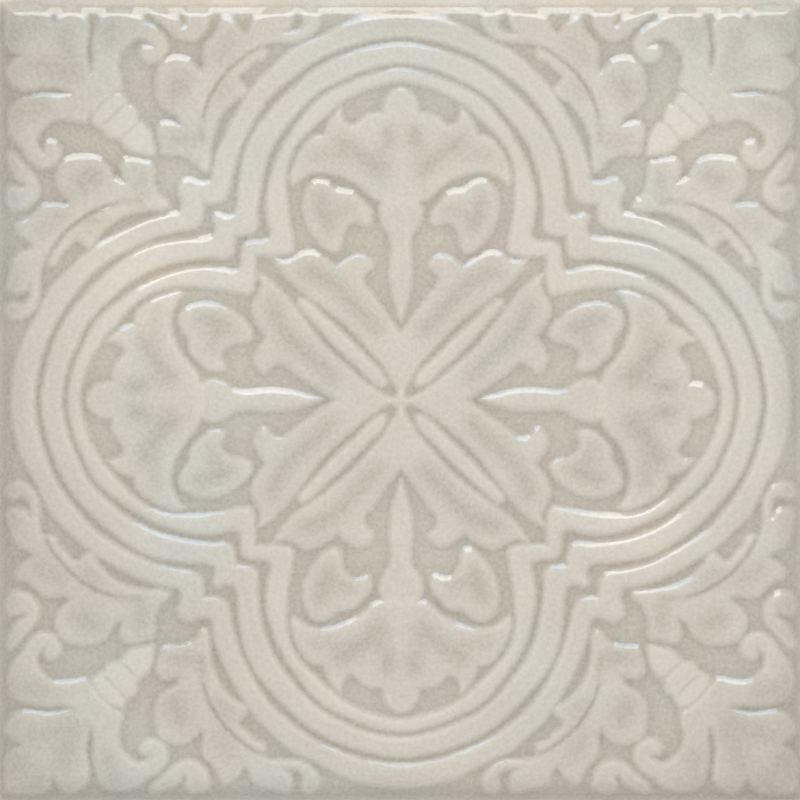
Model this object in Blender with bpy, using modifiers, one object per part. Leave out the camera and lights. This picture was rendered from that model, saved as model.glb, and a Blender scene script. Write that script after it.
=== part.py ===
"""Decorative relief wall tile: one pressed and glazed slab, lying face up. Metres, +Z up."""

import bmesh
import bpy

MM = 0.001

# The slab, from its back on the floor to the sunk ground of its face
TILE_SIDE = 148.0 * MM
GROUND_HEIGHT = 7.0 * MM
RIM_ROUNDING = 1.8 * MM
RIM_SEGMENTS = 3
UPRIGHT_EDGE_SHARE = 0.4

# How far each kind of ornament stands above the sunk ground
LEAF_HEIGHT = 1.6 * MM
BAND_HEIGHT = 1.8 * MM
RIB_HEIGHT = 1.2 * MM
COMMA_HEIGHT = 1.4 * MM
COLLAR_HEIGHT = 2.0 * MM
NECK_HEIGHT = 1.3 * MM
BUD_HEIGHT = 0.5 * MM

# Each ornament is a plate this thick, and its lower part is sunk in the slab
PLATE_THICKNESS = 3.6 * MM

# The lines pressed into the raised leaves
VEIN_DEPTH = 0.6 * MM
VEIN_OVERSHOOT = 1.0 * MM

WELD_DISTANCE = 0.001 * MM

GLAZE_COLOUR = (0.578, 0.546, 0.479, 1.0)
GLAZE_ROUGHNESS = 0.12

# Outlines, in millimetres from the middle of the tile, for the slice between the line
# straight up (x = 0) and the diagonal (x = y). The rest of the tile is this slice, mirrored.
ROSETTE = [
    (0.0, 12.4), (1.9, 15.0), (5.0, 19.5), (7.05, 22.4), (6.5, 23.4), (5.0, 25.2), (5.6, 26.2),
    (6.9, 27.0), (8.1, 27.1), (10.0, 26.2), (11.75, 24.95), (13.4, 26.1), (15.3, 27.25),
    (17.0, 27.6), (18.5, 27.2), (20.1, 26.3), (21.3, 25.9), (23.4, 26.35), (22.6, 24.6),
    (21.2, 22.8), (19.5, 21.1), (15.8, 18.4), (12.2, 15.7), (10.1, 14.0), (7.8, 11.6),
    (5.6, 9.1), (3.4, 6.5), (2.1, 4.4), (1.0, 2.7), (0.6, 1.4), (0.9, 0.9),
]
RIB = [
    (2.85, 2.85), (2.75, 3.9), (3.6, 5.4), (6.0, 7.75), (10.0, 11.9), (14.0, 15.6),
    (17.1, 18.5), (18.1, 19.0), (18.75, 18.75),
]
STEM = [
    (0.0, 14.6), (0.95, 17.5), (1.8, 20.8), (2.05, 24.0), (2.05, 30.4), (3.2, 32.2),
    (3.95, 34.2), (3.95, 35.7), (3.6, 36.5), (0.0, 36.8),
]
PALMETTE = [
    (0.0, 37.1), (3.9, 37.0), (5.3, 37.7), (7.5, 39.6), (9.5, 40.9), (11.7, 41.8), (14.1, 42.3),
    (16.4, 42.1), (18.2, 41.3), (19.95, 39.95), (20.4, 41.2), (20.2, 42.5), (19.4, 44.7),
    (18.0, 47.1), (16.4, 48.8), (14.2, 49.3), (13.9, 50.3), (13.2, 51.9), (11.1, 54.5),
    (10.45, 51.9), (9.1, 51.05), (8.1, 51.55), (6.6, 52.8), (4.9, 53.3), (3.4, 53.2),
    (3.1, 55.4), (2.4, 56.7), (1.3, 57.65), (0.0, 58.0),
]
COMMA = [
    (14.96, 41.0), (13.3, 40.5), (11.4, 39.2), (9.9, 39.0), (8.6, 38.6), (7.0, 37.0),
    (5.7, 35.4), (5.4, 34.0), (5.75, 32.65), (6.5, 32.5), (8.2, 33.05), (9.6, 32.4),
    (10.6, 30.6), (11.0, 28.6), (11.6, 27.6), (12.6, 27.4), (13.8, 27.9), (15.2, 29.2),
    (17.0, 31.8), (18.0, 34.8), (17.9, 37.6), (17.0, 39.8), (16.1, 40.7),
]
INNER_BAND_INSIDE = [
    (0.0, 59.1), (5.0, 58.2), (9.5, 56.3), (14.4, 52.4), (19.0, 47.6), (20.8, 43.4),
    (21.1, 38.5), (20.75, 34.0), (19.9, 29.6), (19.9, 27.6), (21.5, 27.0), (26.85, 26.85),
]
INNER_BAND_OUTSIDE = [
    (0.0, 61.45), (5.0, 60.6), (10.0, 58.75), (15.0, 56.0), (18.9, 51.5), (21.8, 47.0),
    (23.9, 42.0), (24.9, 36.6), (24.5, 33.0), (24.1, 30.6), (25.0, 29.75), (28.95, 28.95),
]
MIDDLE_BAND_INSIDE = [
    (0.0, 62.5), (5.0, 61.75), (10.0, 59.9), (15.0, 57.3), (19.6, 52.8), (22.8, 48.6),
    (24.9, 44.0), (26.1, 38.5), (26.5, 34.5), (26.4, 32.3), (27.2, 31.0), (30.5, 30.5),
]
MIDDLE_BAND_OUTSIDE = [
    (0.0, 66.3), (5.0, 65.6), (10.0, 64.2), (15.0, 61.9), (20.0, 58.0), (24.7, 53.0),
    (27.0, 50.0), (28.9, 46.0), (29.7, 42.2), (30.05, 39.0), (30.15, 36.3), (30.8, 34.7),
    (32.2, 34.2), (34.45, 34.45),
]
OUTER_BAND_INSIDE = [
    (0.0, 67.55), (5.0, 67.0), (10.0, 65.6), (15.0, 63.4), (20.0, 60.0), (24.4, 56.0),
    (28.1, 50.0), (29.9, 46.0), (31.1, 42.0), (32.0, 38.1), (33.0, 36.9), (34.5, 36.5),
    (36.4, 36.4),
]
OUTER_BAND_OUTSIDE = [
    (0.0, 71.9), (5.0, 71.4), (10.0, 70.1), (15.0, 67.5), (20.0, 65.2), (24.0, 61.7),
    (27.5, 58.0), (30.0, 54.0), (32.2, 50.0), (33.9, 46.0), (34.7, 42.8), (35.1, 40.9),
    (36.2, 40.5), (38.8, 41.2), (40.6, 40.6),
]
SIDE_LEAF = [
    (35.7, 42.4), (36.9, 42.95), (38.0, 44.3), (39.3, 45.05), (40.9, 45.5), (43.6, 45.6),
    (44.2, 45.9), (44.5, 47.2), (45.0, 49.2), (44.9, 50.7), (44.0, 51.6), (42.4, 51.6),
    (40.7, 51.2), (41.5, 52.8), (42.8, 53.55), (44.2, 54.6), (45.1, 56.2), (45.3, 58.5),
    (45.0, 61.2), (44.3, 62.6), (42.8, 63.5), (40.9, 63.75), (39.1, 63.2), (36.9, 61.0),
    (36.35, 62.0), (36.5, 64.2), (36.2, 66.0), (34.9, 67.4), (33.6, 69.2), (32.9, 70.8),
    (32.3, 71.15), (30.9, 70.3), (28.9, 67.9), (28.0, 68.8), (27.2, 70.5), (25.9, 71.6),
    (24.0, 72.05), (20.9, 72.8), (20.2, 72.0), (20.1, 70.2), (20.5, 69.0), (21.5, 68.45),
    (19.9, 68.4), (18.4, 69.0), (17.9, 70.0), (18.2, 71.8), (17.8, 72.8), (16.4, 72.85),
    (15.3, 71.9), (15.05, 70.2), (15.9, 68.5), (17.5, 67.2), (19.4, 66.65), (22.0, 66.55),
    (24.6, 66.3), (25.0, 65.9), (25.0, 64.3), (25.5, 63.4), (26.8, 63.05), (28.2, 61.6),
    (29.8, 60.0), (29.3, 59.0), (28.4, 58.0), (28.3, 57.1), (30.0, 56.0), (31.2, 55.1),
    (33.1, 53.0), (34.5, 50.0), (35.1, 47.0), (35.2, 44.0),
]
SIDE_LEAF_VEIN = [
    (25.2, 65.2), (26.5, 64.9), (28.3, 63.8), (30.4, 62.0), (32.3, 60.2), (34.0, 58.0),
    (35.3, 55.7), (36.2, 53.0), (36.7, 50.8), (36.5, 53.4), (35.7, 56.0), (34.4, 58.5),
    (32.8, 60.7), (30.8, 62.7), (28.6, 64.5), (26.7, 65.6), (25.3, 65.9),
]
CURL = [
    (35.4, 70.7), (35.6, 71.9), (36.3, 72.55), (37.6, 72.9), (38.9, 72.8), (39.8, 72.1),
    (39.5, 69.8), (40.2, 69.4), (41.3, 71.0), (43.2, 72.0), (45.0, 72.8), (46.05, 72.1),
    (45.6, 71.2), (44.5, 70.1), (43.0, 68.7), (41.4, 67.35), (39.5, 66.7), (37.6, 67.05),
    (36.0, 68.5), (35.5, 69.7),
]
CORNER_LEAF = [
    (55.3, 55.3), (53.0, 57.0), (51.4, 57.9), (51.5, 59.1), (52.1, 62.8), (51.7, 64.4),
    (50.7, 65.7), (48.9, 67.0), (47.6, 67.05), (45.9, 65.9), (47.8, 65.65), (48.2, 64.85),
    (48.0, 63.8), (47.2, 63.0), (46.0, 62.6), (44.7, 63.0), (43.4, 64.2), (43.0, 65.6),
    (43.2, 67.0), (44.2, 68.4), (47.0, 70.1), (47.8, 71.0), (49.2, 71.8), (51.2, 72.5),
    (53.2, 72.4), (54.9, 71.6), (56.0, 69.9), (56.9, 65.5), (56.75, 63.0), (57.2, 60.9),
    (57.8, 63.0), (58.0, 65.5), (57.6, 68.3), (57.7, 70.3), (58.8, 71.8), (60.3, 72.8),
    (61.4, 72.95), (62.3, 72.1), (64.05, 69.95), (65.5, 72.4), (66.8, 73.0), (72.9, 72.9),
]
OUTER_COLLAR = [
    (55.1, 55.1), (53.6, 56.1), (52.0, 57.3), (51.2, 56.8), (51.05, 56.0), (51.4, 55.1),
    (52.4, 53.9), (53.15, 53.15),
]
MIDDLE_COLLAR = [
    (52.6, 52.6), (51.6, 53.7), (50.7, 54.8), (49.6, 54.7), (48.7, 53.5), (48.5, 52.2),
    (49.2, 51.2), (50.3, 50.3),
]
INNER_COLLAR = [
    (49.85, 49.85), (48.5, 51.2), (47.9, 51.6), (46.9, 50.8), (46.0, 49.4), (45.6, 47.8),
    (45.4, 46.3), (45.5, 45.5),
]
NECK = [(47.0, 47.0), (48.0, 50.5), (51.5, 55.0), (53.0, 57.5), (56.0, 56.0)]

# The low bud beside each stem: middle, and half its length and width
BUD_MIDDLE = (6.3, 29.8)
BUD_RADII = (2.3, 1.4)
BUD_SEGMENTS = 10
BUD_RINGS = 6


def clear_scene():
    for old in list(bpy.data.objects):
        bpy.data.objects.remove(old)


def new_collection(name):
    collection = bpy.data.collections.new(name)
    bpy.context.scene.collection.children.link(collection)
    return collection


def quarter_turns(points):
    """The outline at all four sides of the tile, each a quarter turn from the last."""
    loops = [points]
    for _ in range(3):
        loops.append([(y, -x) for x, y in loops[-1]])
    return loops


def across_axis(points):
    return [(-x, y) for x, y in reversed(points)]


def across_diagonal(points):
    return [(y, x) for x, y in reversed(points)]


def on_each_axis(half):
    """A motif that straddles the axis: its right half, closed by the mirror image."""
    other_half = [(x, y) for x, y in across_axis(half) if x != 0.0]
    return quarter_turns(half + other_half)


def on_each_diagonal(half):
    """A motif that straddles the diagonal: its upper half, closed by the mirror image."""
    other_half = [(x, y) for x, y in across_diagonal(half) if x != y]
    return quarter_turns(half + other_half)


def in_each_slice(points):
    """A motif that lies inside the slice, once in each of the eight slices."""
    return quarter_turns(points) + quarter_turns(across_axis(points))


def round_the_middle(slice_path):
    """One line round the whole tile, from its stretch between the axis and the diagonal."""
    quarter = slice_path + across_diagonal(slice_path)[1:]
    ring = []
    for side in quarter_turns(quarter):
        ring += side[:-1]
    return [ring]


def plate(name, loops, bottom, top, collection):
    """A flat solid with these outlines between two heights. An outline inside another is a hole."""
    curve = bpy.data.curves.new(name, "CURVE")
    curve.dimensions = "2D"
    curve.fill_mode = "BOTH"
    curve.extrude = (top - bottom) / 2
    for loop in loops:
        spline = curve.splines.new("POLY")
        spline.points.add(len(loop) - 1)
        spline.use_cyclic_u = True
        for point, (x, y) in zip(spline.points, loop):
            point.co = (x * MM, y * MM, 0.0, 1.0)
    drawn = bpy.data.objects.new(name + "_outline", curve)
    drawn.location.z = (top + bottom) / 2
    collection.objects.link(drawn)
    bpy.context.view_layer.update()
    evaluated = drawn.evaluated_get(bpy.context.evaluated_depsgraph_get())
    mesh = bpy.data.meshes.new_from_object(evaluated)
    welded = bmesh.new()
    welded.from_mesh(mesh)
    bmesh.ops.remove_doubles(welded, verts=welded.verts, dist=WELD_DISTANCE)
    bmesh.ops.recalc_face_normals(welded, faces=welded.faces)
    welded.to_mesh(mesh)
    welded.free()
    solid = bpy.data.objects.new(name, mesh)
    solid.matrix_world = drawn.matrix_world
    bpy.data.objects.remove(drawn)
    collection.objects.link(solid)


def raised(name, loops, height, collection):
    """An ornament with its foot sunk in the slab, so that the two become one solid."""
    top = GROUND_HEIGHT + height
    plate(name, loops, top - PLATE_THICKNESS, top, collection)


def make_buds(collection):
    """Low domes: flattened spheres, each with its middle on the sunk ground."""
    for number, [(x, y)] in enumerate(in_each_slice([BUD_MIDDLE])):
        turned = number % 2 == 1
        along, over = BUD_RADII[::-1] if turned else BUD_RADII
        bpy.ops.mesh.primitive_uv_sphere_add(
            segments=BUD_SEGMENTS, ring_count=BUD_RINGS, radius=1.0,
            location=(x * MM, y * MM, GROUND_HEIGHT), scale=(along * MM, over * MM, BUD_HEIGHT),
        )
        bud = bpy.context.active_object
        bud.name = f"bud_{number}"
        for used in list(bud.users_collection):
            used.objects.unlink(bud)
        collection.objects.link(bud)


def make_ornament(collection):
    leaves = {
        "rosette": round_the_middle(ROSETTE),
        "stems": on_each_axis(STEM),
        "palmettes": on_each_axis(PALMETTE),
        "side_leaves": in_each_slice(SIDE_LEAF),
        "curls": in_each_slice(CURL),
        "corner_leaves": on_each_diagonal(CORNER_LEAF),
    }
    bands = {
        "inner_band": round_the_middle(INNER_BAND_INSIDE) + round_the_middle(INNER_BAND_OUTSIDE),
        "middle_band": round_the_middle(MIDDLE_BAND_INSIDE) + round_the_middle(MIDDLE_BAND_OUTSIDE),
        "outer_band": round_the_middle(OUTER_BAND_INSIDE) + round_the_middle(OUTER_BAND_OUTSIDE),
    }
    collars = {
        "outer_collars": on_each_diagonal(OUTER_COLLAR),
        "middle_collars": on_each_diagonal(MIDDLE_COLLAR),
        "inner_collars": on_each_diagonal(INNER_COLLAR),
    }
    for name, loops in leaves.items():
        raised(name, loops, LEAF_HEIGHT, collection)
    for name, loops in bands.items():
        raised(name, loops, BAND_HEIGHT, collection)
    for name, loops in collars.items():
        raised(name, loops, COLLAR_HEIGHT, collection)
    raised("ribs", on_each_diagonal(RIB), RIB_HEIGHT, collection)
    raised("commas", in_each_slice(COMMA), COMMA_HEIGHT, collection)
    raised("necks", on_each_diagonal(NECK), NECK_HEIGHT, collection)
    make_buds(collection)


def make_veins(collection):
    leaf_top = GROUND_HEIGHT + LEAF_HEIGHT
    loops = in_each_slice(SIDE_LEAF_VEIN)
    plate("leaf_veins", loops, leaf_top - VEIN_DEPTH, leaf_top + VEIN_OVERSHOOT, collection)


def glazed_ceramic():
    material = bpy.data.materials.new("glazed_ceramic")
    material.use_nodes = True
    shader = material.node_tree.nodes["Principled BSDF"]
    shader.inputs["Base Color"].default_value = GLAZE_COLOUR
    shader.inputs["Metallic"].default_value = 0.0
    shader.inputs["Roughness"].default_value = GLAZE_ROUGHNESS
    return material


def make_slab():
    """The slab's box, with weights that round the rim of its face and ease its upright edges."""
    box = bmesh.new()
    bmesh.ops.create_cube(box, size=1.0)
    bmesh.ops.scale(box, vec=(TILE_SIDE, TILE_SIDE, GROUND_HEIGHT), verts=box.verts)
    bmesh.ops.translate(box, vec=(0.0, 0.0, GROUND_HEIGHT / 2), verts=box.verts)
    weight = box.edges.layers.float.new("bevel_weight_edge")
    middle = GROUND_HEIGHT / 2
    for edge in box.edges:
        ends_above = sum(vert.co.z > middle for vert in edge.verts)
        edge[weight] = (0.0, UPRIGHT_EDGE_SHARE, 1.0)[ends_above]
    mesh = bpy.data.meshes.new("relief_tile")
    box.to_mesh(mesh)
    box.free()
    slab = bpy.data.objects.new("relief_tile", mesh)
    rim = slab.modifiers.new("rounded_rim", "BEVEL")
    rim.limit_method = "WEIGHT"
    rim.width = RIM_ROUNDING
    rim.segments = RIM_SEGMENTS
    return slab


def combine(slab, name, operation, collection):
    step = slab.modifiers.new(name, "BOOLEAN")
    step.operation = operation
    step.solver = "EXACT"
    step.operand_type = "COLLECTION"
    step.collection = collection


def helper_collection(name):
    collection = new_collection(name)
    collection.hide_render = True
    return collection


def hide_helpers(collection):
    for helper in collection.objects:
        helper.hide_render = True
        helper.display_type = "WIRE"


def main():
    clear_scene()
    tile_parts = new_collection("decorative_ceramic_tile")
    ornament = helper_collection("ornament_plates")
    veins = helper_collection("pressed_lines")
    make_ornament(ornament)
    make_veins(veins)
    hide_helpers(ornament)
    hide_helpers(veins)
    slab = make_slab()
    slab.data.materials.append(glazed_ceramic())
    tile_parts.objects.link(slab)
    combine(slab, "raised_ornament", "UNION", ornament)
    combine(slab, "leaf_veins", "DIFFERENCE", veins)


main()
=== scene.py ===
# %% [markdown]
# # A glazed relief tile
#
# The real tile is one slab of clay, pressed in a carved mould, dried, and fired under a thick,
# shiny glaze. The mould gives the ornament: a four-lobed frame of three bands, palmettes and
# leaves inside it, and curled leaves in the corners. The glaze then rounds every edge and
# gathers in the grooves, where it looks darker.
#
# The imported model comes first. It fixes where the tile lies and how large it is.

import math

import bpy
import numpy as np
from mathutils.geometry import interpolate_bezier
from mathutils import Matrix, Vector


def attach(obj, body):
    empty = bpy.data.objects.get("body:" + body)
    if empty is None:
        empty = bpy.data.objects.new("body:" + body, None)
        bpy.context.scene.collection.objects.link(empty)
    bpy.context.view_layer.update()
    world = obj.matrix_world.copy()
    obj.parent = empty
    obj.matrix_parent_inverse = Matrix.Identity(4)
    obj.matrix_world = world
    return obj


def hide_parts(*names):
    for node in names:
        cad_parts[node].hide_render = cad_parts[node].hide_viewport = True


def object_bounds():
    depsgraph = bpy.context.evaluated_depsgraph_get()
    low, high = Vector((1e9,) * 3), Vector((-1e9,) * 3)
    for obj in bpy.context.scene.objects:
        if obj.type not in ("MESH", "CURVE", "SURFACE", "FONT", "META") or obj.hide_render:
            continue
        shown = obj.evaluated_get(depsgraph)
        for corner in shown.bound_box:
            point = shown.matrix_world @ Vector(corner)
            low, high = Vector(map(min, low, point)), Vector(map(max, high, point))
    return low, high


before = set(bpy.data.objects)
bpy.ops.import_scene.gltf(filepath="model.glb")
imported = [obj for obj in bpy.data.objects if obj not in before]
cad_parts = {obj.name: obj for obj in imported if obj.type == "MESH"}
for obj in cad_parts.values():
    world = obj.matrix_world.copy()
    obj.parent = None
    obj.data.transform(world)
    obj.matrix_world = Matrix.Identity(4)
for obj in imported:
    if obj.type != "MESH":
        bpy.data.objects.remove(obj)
cad_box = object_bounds()
MM = 0.001
scene = bpy.context.scene
print("The solid measures, in mm:", [round((b - a) / MM, 2) for a, b in zip(*cad_box)])

# %% [markdown]
# ## The size of the tile
#
# The ornament is drawn in millimetres from the middle of the tile. The slab is about 7 mm thick
# at the sunk ground. Its rim is rolled over, first gently and then steeply, because thick glaze
# draws back from an edge. The lean of the rim is planned outward from the flat face, and adding
# it up gives how far the rim sinks and how long the way over it is.

# %% Sizes of the slab and its rim
half_side = (cad_box[1][0] - cad_box[0][0]) / MM / 2
ground_height = 7.15
rim_width = 4.0
flat_half = half_side - rim_width
rim_steps = 160
rim_pace = rim_width / rim_steps
rim_out = np.linspace(0.0, rim_width, rim_steps + 1)
planned_out = (0.0, 0.9, 1.6, 2.6, 3.0, 4.0)
planned_degrees = (0.0, 17.0, 34.0, 44.0, 54.0, 60.0)
rim_lean = np.radians(np.interp(rim_out, planned_out, planned_degrees))
lean_of_step = rim_lean[1:] - 0.5 * np.diff(rim_lean)
rim_sink = np.concatenate([[0.0], np.cumsum(np.tan(lean_of_step)) * rim_pace])
rim_along = np.concatenate([[0.0], np.cumsum(1 / np.cos(lean_of_step)) * rim_pace])
rim_drop = float(rim_sink[-1])
sheet_half = flat_half + float(rim_along[-1])
print("Flat face up to", round(flat_half, 2), "mm, then the rim sinks", round(rim_drop, 2), "mm")

# %% [markdown]
# ## The drawing of the ornament
#
# A mould carver draws one slice of the pattern and repeats it by mirror images. The slice here
# lies between the line straight up from the middle and the diagonal, so the tile holds eight of
# them. Each outline is a closed curve through a few points. A point marked CORNER is a sharp
# one, and the curve runs smoothly through all the others.

# %% Outlines inside the frame
CORNER = "corner"
rosette = [
    (0.0, 12.4, CORNER), (1.9, 15.0), (5.0, 19.5), (6.9, 22.2), (6.5, 23.4), (5.0, 25.2),
    (5.6, 26.2), (6.9, 27.0), (8.1, 27.1), (10.0, 26.2), (11.75, 24.95, CORNER), (13.4, 26.1),
    (15.3, 27.25), (17.0, 27.6), (18.5, 27.2), (20.1, 26.3), (21.3, 25.9),
    (23.6, 26.45, CORNER), (22.6, 24.6), (21.2, 22.8), (19.5, 21.1), (15.8, 18.4),
    (12.2, 15.7), (10.1, 14.0), (7.8, 11.6), (5.6, 9.1), (3.4, 6.5), (2.1, 4.4), (1.0, 2.7),
    (0.6, 1.4), (0.9, 0.9),
]
rib = [
    (2.85, 2.85), (2.75, 3.9), (3.6, 5.4), (6.0, 7.75), (10.0, 11.9), (14.0, 15.6),
    (17.1, 18.5), (18.1, 19.0), (18.75, 18.75),
]
stem = [
    (0.0, 14.6, CORNER), (0.95, 17.5), (1.8, 20.8), (2.05, 24.0), (2.05, 30.4), (3.2, 32.2),
    (3.95, 34.2), (3.95, 35.7), (3.5, 36.5), (0.0, 36.85),
]
palmette = [
    (0.0, 37.0), (3.9, 37.0, CORNER), (5.3, 37.7), (7.5, 39.6), (9.5, 40.9), (11.7, 41.8),
    (14.1, 42.3), (16.4, 42.1), (18.2, 41.3), (19.95, 39.95, CORNER), (20.4, 41.2),
    (20.2, 42.5), (19.4, 44.7), (18.0, 47.1), (16.4, 48.8), (14.2, 49.3, CORNER),
    (13.9, 50.3), (13.2, 51.9), (11.1, 54.5, CORNER), (10.45, 51.9), (9.1, 51.05),
    (8.1, 51.55), (6.6, 52.8), (4.9, 53.3), (3.4, 53.2, CORNER), (3.1, 55.4), (2.4, 56.7),
    (1.3, 57.65), (0.0, 58.0),
]
comma = [
    (14.96, 41.0), (13.3, 40.5), (11.4, 39.2), (9.9, 39.0), (8.6, 38.6), (7.0, 37.0),
    (5.7, 35.4), (5.4, 34.0), (5.75, 32.65), (6.5, 32.5), (8.2, 33.05), (9.6, 32.4),
    (10.6, 30.6), (11.0, 28.6), (11.6, 27.6), (12.6, 27.4), (13.8, 27.9), (15.2, 29.2),
    (17.0, 31.8), (18.0, 34.8), (17.9, 37.6), (17.0, 39.8), (16.1, 40.7),
]
print("Points drawn inside the frame:", len(rosette + rib + stem + palmette + comma))

# %% [markdown]
# The frame is three bands side by side. Each is the space between two lines that run right
# round the tile, and between the bands lie two narrow grooves.

# %% Lines of the three bands
inner_band_inside = [
    (0.0, 59.1), (5.0, 58.2), (9.5, 56.3), (14.4, 52.4), (19.0, 47.6), (20.8, 43.4),
    (21.1, 38.5), (20.75, 34.0), (19.9, 29.6), (19.9, 27.6), (21.5, 27.0),
    (26.85, 26.85, CORNER),
]
inner_band_outside = [
    (0.0, 61.45), (5.0, 60.6), (10.0, 58.75), (15.0, 56.0), (18.9, 51.5), (21.8, 47.0),
    (23.9, 42.0), (24.9, 36.6), (24.5, 33.0), (24.1, 30.6), (25.0, 29.75), (28.0, 29.4),
    (28.95, 28.95),
]
middle_band_inside = [
    (0.0, 62.5), (5.0, 61.75), (10.0, 59.9), (15.0, 57.3), (19.6, 52.8), (22.8, 48.6),
    (24.9, 44.0), (26.1, 38.5), (26.5, 34.5), (26.4, 32.3), (27.2, 31.0), (28.5, 30.65),
    (30.5, 30.5, CORNER),
]
middle_band_outside = [
    (0.0, 66.3), (5.0, 65.6), (10.0, 64.2), (15.0, 61.9), (20.0, 58.0), (24.7, 53.0),
    (27.0, 50.0), (28.9, 46.0), (29.7, 42.2), (30.05, 39.0), (30.15, 36.3), (30.8, 34.7),
    (32.2, 34.2), (33.6, 34.7), (34.45, 34.45),
]
outer_band_inside = [
    (0.0, 67.55), (5.0, 67.0), (10.0, 65.6), (15.0, 63.4), (20.0, 60.0), (24.4, 56.0),
    (28.1, 50.0), (29.9, 46.0), (31.1, 42.0), (32.0, 38.1), (33.0, 36.9), (34.5, 36.5),
    (36.4, 36.4, CORNER),
]
outer_band_outside = [
    (0.0, 71.9), (5.0, 71.4), (10.0, 70.1), (15.0, 67.5), (20.0, 65.2), (24.0, 61.7),
    (27.5, 58.0), (30.0, 54.0), (32.2, 50.0), (33.9, 46.0), (34.7, 42.8), (35.1, 40.9),
    (36.2, 40.5), (37.3, 40.6), (38.8, 41.2), (40.6, 40.6),
]
first_groove = middle_band_inside[0][1] - inner_band_outside[0][1]
second_groove = outer_band_inside[0][1] - middle_band_outside[0][1]
print("Grooves between the bands, in mm:", round(first_groove, 2), "and", round(second_groove, 2))

# %% [markdown]
# Outside the frame, each slice holds a side leaf that curls back on itself, a small curl beside
# it, and half of the corner leaf. The corner leaf grows out of three collars on the diagonal,
# and a low neck under the collars ties them together.

# %% Outlines of the corner leaves
side_leaf = [
    (35.7, 42.4, CORNER), (36.9, 42.95), (38.0, 44.3), (39.3, 45.05), (40.9, 45.5),
    (43.6, 45.6), (44.2, 45.9), (44.5, 47.2), (45.0, 49.2), (44.9, 50.7), (44.0, 51.6),
    (42.4, 51.6), (40.7, 51.2, CORNER), (41.5, 52.8), (42.8, 53.55), (44.2, 54.6),
    (45.1, 56.2), (45.3, 58.5), (45.0, 61.2), (44.3, 62.6), (42.8, 63.5), (40.9, 63.75),
    (39.1, 63.2), (37.9, 62.1), (36.9, 61.0, CORNER), (36.35, 62.0), (36.5, 64.2),
    (36.2, 66.0), (34.9, 67.4), (33.6, 69.2), (32.9, 70.8), (32.3, 71.15, CORNER),
    (30.9, 70.3), (29.7, 68.9), (28.9, 67.9, CORNER), (28.0, 68.8), (27.2, 70.5),
    (25.9, 71.6), (24.0, 72.05), (22.3, 72.45), (20.9, 72.8), (20.2, 72.0), (20.1, 70.2),
    (20.5, 69.0), (21.5, 68.45, CORNER), (19.9, 68.4), (18.4, 69.0), (17.9, 70.0),
    (18.2, 71.8), (17.8, 72.8), (16.4, 72.85), (15.3, 71.9), (15.05, 70.2), (15.9, 68.5),
    (17.5, 67.2), (19.4, 66.65), (22.0, 66.55), (24.6, 66.3), (25.0, 65.9, CORNER),
    (25.0, 64.3), (25.5, 63.4), (26.8, 63.05), (28.2, 61.6), (29.8, 60.0), (29.3, 59.0),
    (28.4, 58.0), (28.3, 57.1), (30.0, 56.0), (31.2, 55.1), (33.1, 53.0), (34.5, 50.0),
    (35.1, 47.0), (35.2, 44.0),
]
curl = [
    (35.4, 70.7), (35.6, 71.9), (36.3, 72.55), (37.6, 72.9), (38.9, 72.8), (39.8, 72.1),
    (39.7, 70.8), (39.5, 69.8), (40.2, 69.4, CORNER), (41.3, 71.0), (43.2, 72.0),
    (45.0, 72.8), (45.8, 72.65), (46.05, 72.1), (45.6, 71.2), (44.5, 70.1), (43.0, 68.7),
    (41.4, 67.35), (39.5, 66.7), (37.6, 67.05), (36.0, 68.5), (35.5, 69.7),
]
corner_leaf = [
    (55.3, 55.3), (53.0, 57.0), (51.4, 57.9, CORNER), (51.5, 59.1), (52.1, 62.8),
    (51.7, 64.4), (50.7, 65.7), (48.9, 67.0), (47.6, 67.05), (45.9, 65.9, CORNER),
    (47.8, 65.65), (48.2, 64.85), (48.0, 63.8), (47.2, 63.0), (46.0, 62.6), (44.7, 63.0),
    (43.4, 64.2), (43.0, 65.6), (43.2, 67.0), (44.2, 68.4), (45.6, 69.5), (47.0, 70.1),
    (47.8, 71.0), (49.2, 71.8), (51.2, 72.5), (53.2, 72.4), (54.9, 71.6), (56.0, 69.9),
    (56.9, 65.5), (56.75, 63.0), (57.2, 60.9, CORNER), (57.8, 63.0), (58.0, 65.5),
    (57.6, 68.3), (57.7, 70.3), (58.8, 71.8), (60.3, 72.8), (61.4, 72.95), (62.3, 72.1),
    (64.05, 69.95, CORNER), (65.5, 72.4), (66.8, 73.0), (69.0, 73.0), (72.9, 72.9, CORNER),
]
outer_collar = [
    (55.1, 55.1), (53.6, 56.1), (52.0, 57.3, CORNER), (51.2, 56.8), (51.05, 56.0),
    (51.4, 55.1, CORNER), (52.4, 53.9), (53.15, 53.15),
]
middle_collar = [
    (52.6, 52.6), (51.6, 53.7), (50.7, 54.8, CORNER), (49.6, 54.7), (48.7, 53.5),
    (48.5, 52.2, CORNER), (49.2, 51.2), (50.3, 50.3),
]
inner_collar = [
    (49.85, 49.85), (48.5, 51.2), (47.9, 51.6, CORNER), (46.9, 50.8), (46.0, 49.4),
    (45.6, 47.8), (45.4, 46.3), (45.5, 45.5),
]
neck = [(46.5, 46.5), (46.9, 49.2), (49.3, 53.4), (51.9, 57.0), (54.0, 57.3), (56.5, 56.5)]
print("Points drawn in the corner:", len(side_leaf + curl + corner_leaf))

# %% [markdown]
# ## From a slice to the whole tile
#
# A motif that lies inside the slice is repeated eight times. One that straddles the upright
# line or the diagonal is closed by its own mirror image first and repeated four times. A line
# that runs round the middle is joined from all eight stretches.

# %% Mirror images and quarter turns
def quarter_turns(points):
    loops = [points]
    for _ in range(3):
        loops.append([(y, -x, *kind) for x, y, *kind in loops[-1]])
    return loops


def across_axis(points):
    return [(-x, y, *kind) for x, y, *kind in reversed(points)]


def across_diagonal(points):
    return [(y, x, *kind) for x, y, *kind in reversed(points)]


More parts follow.
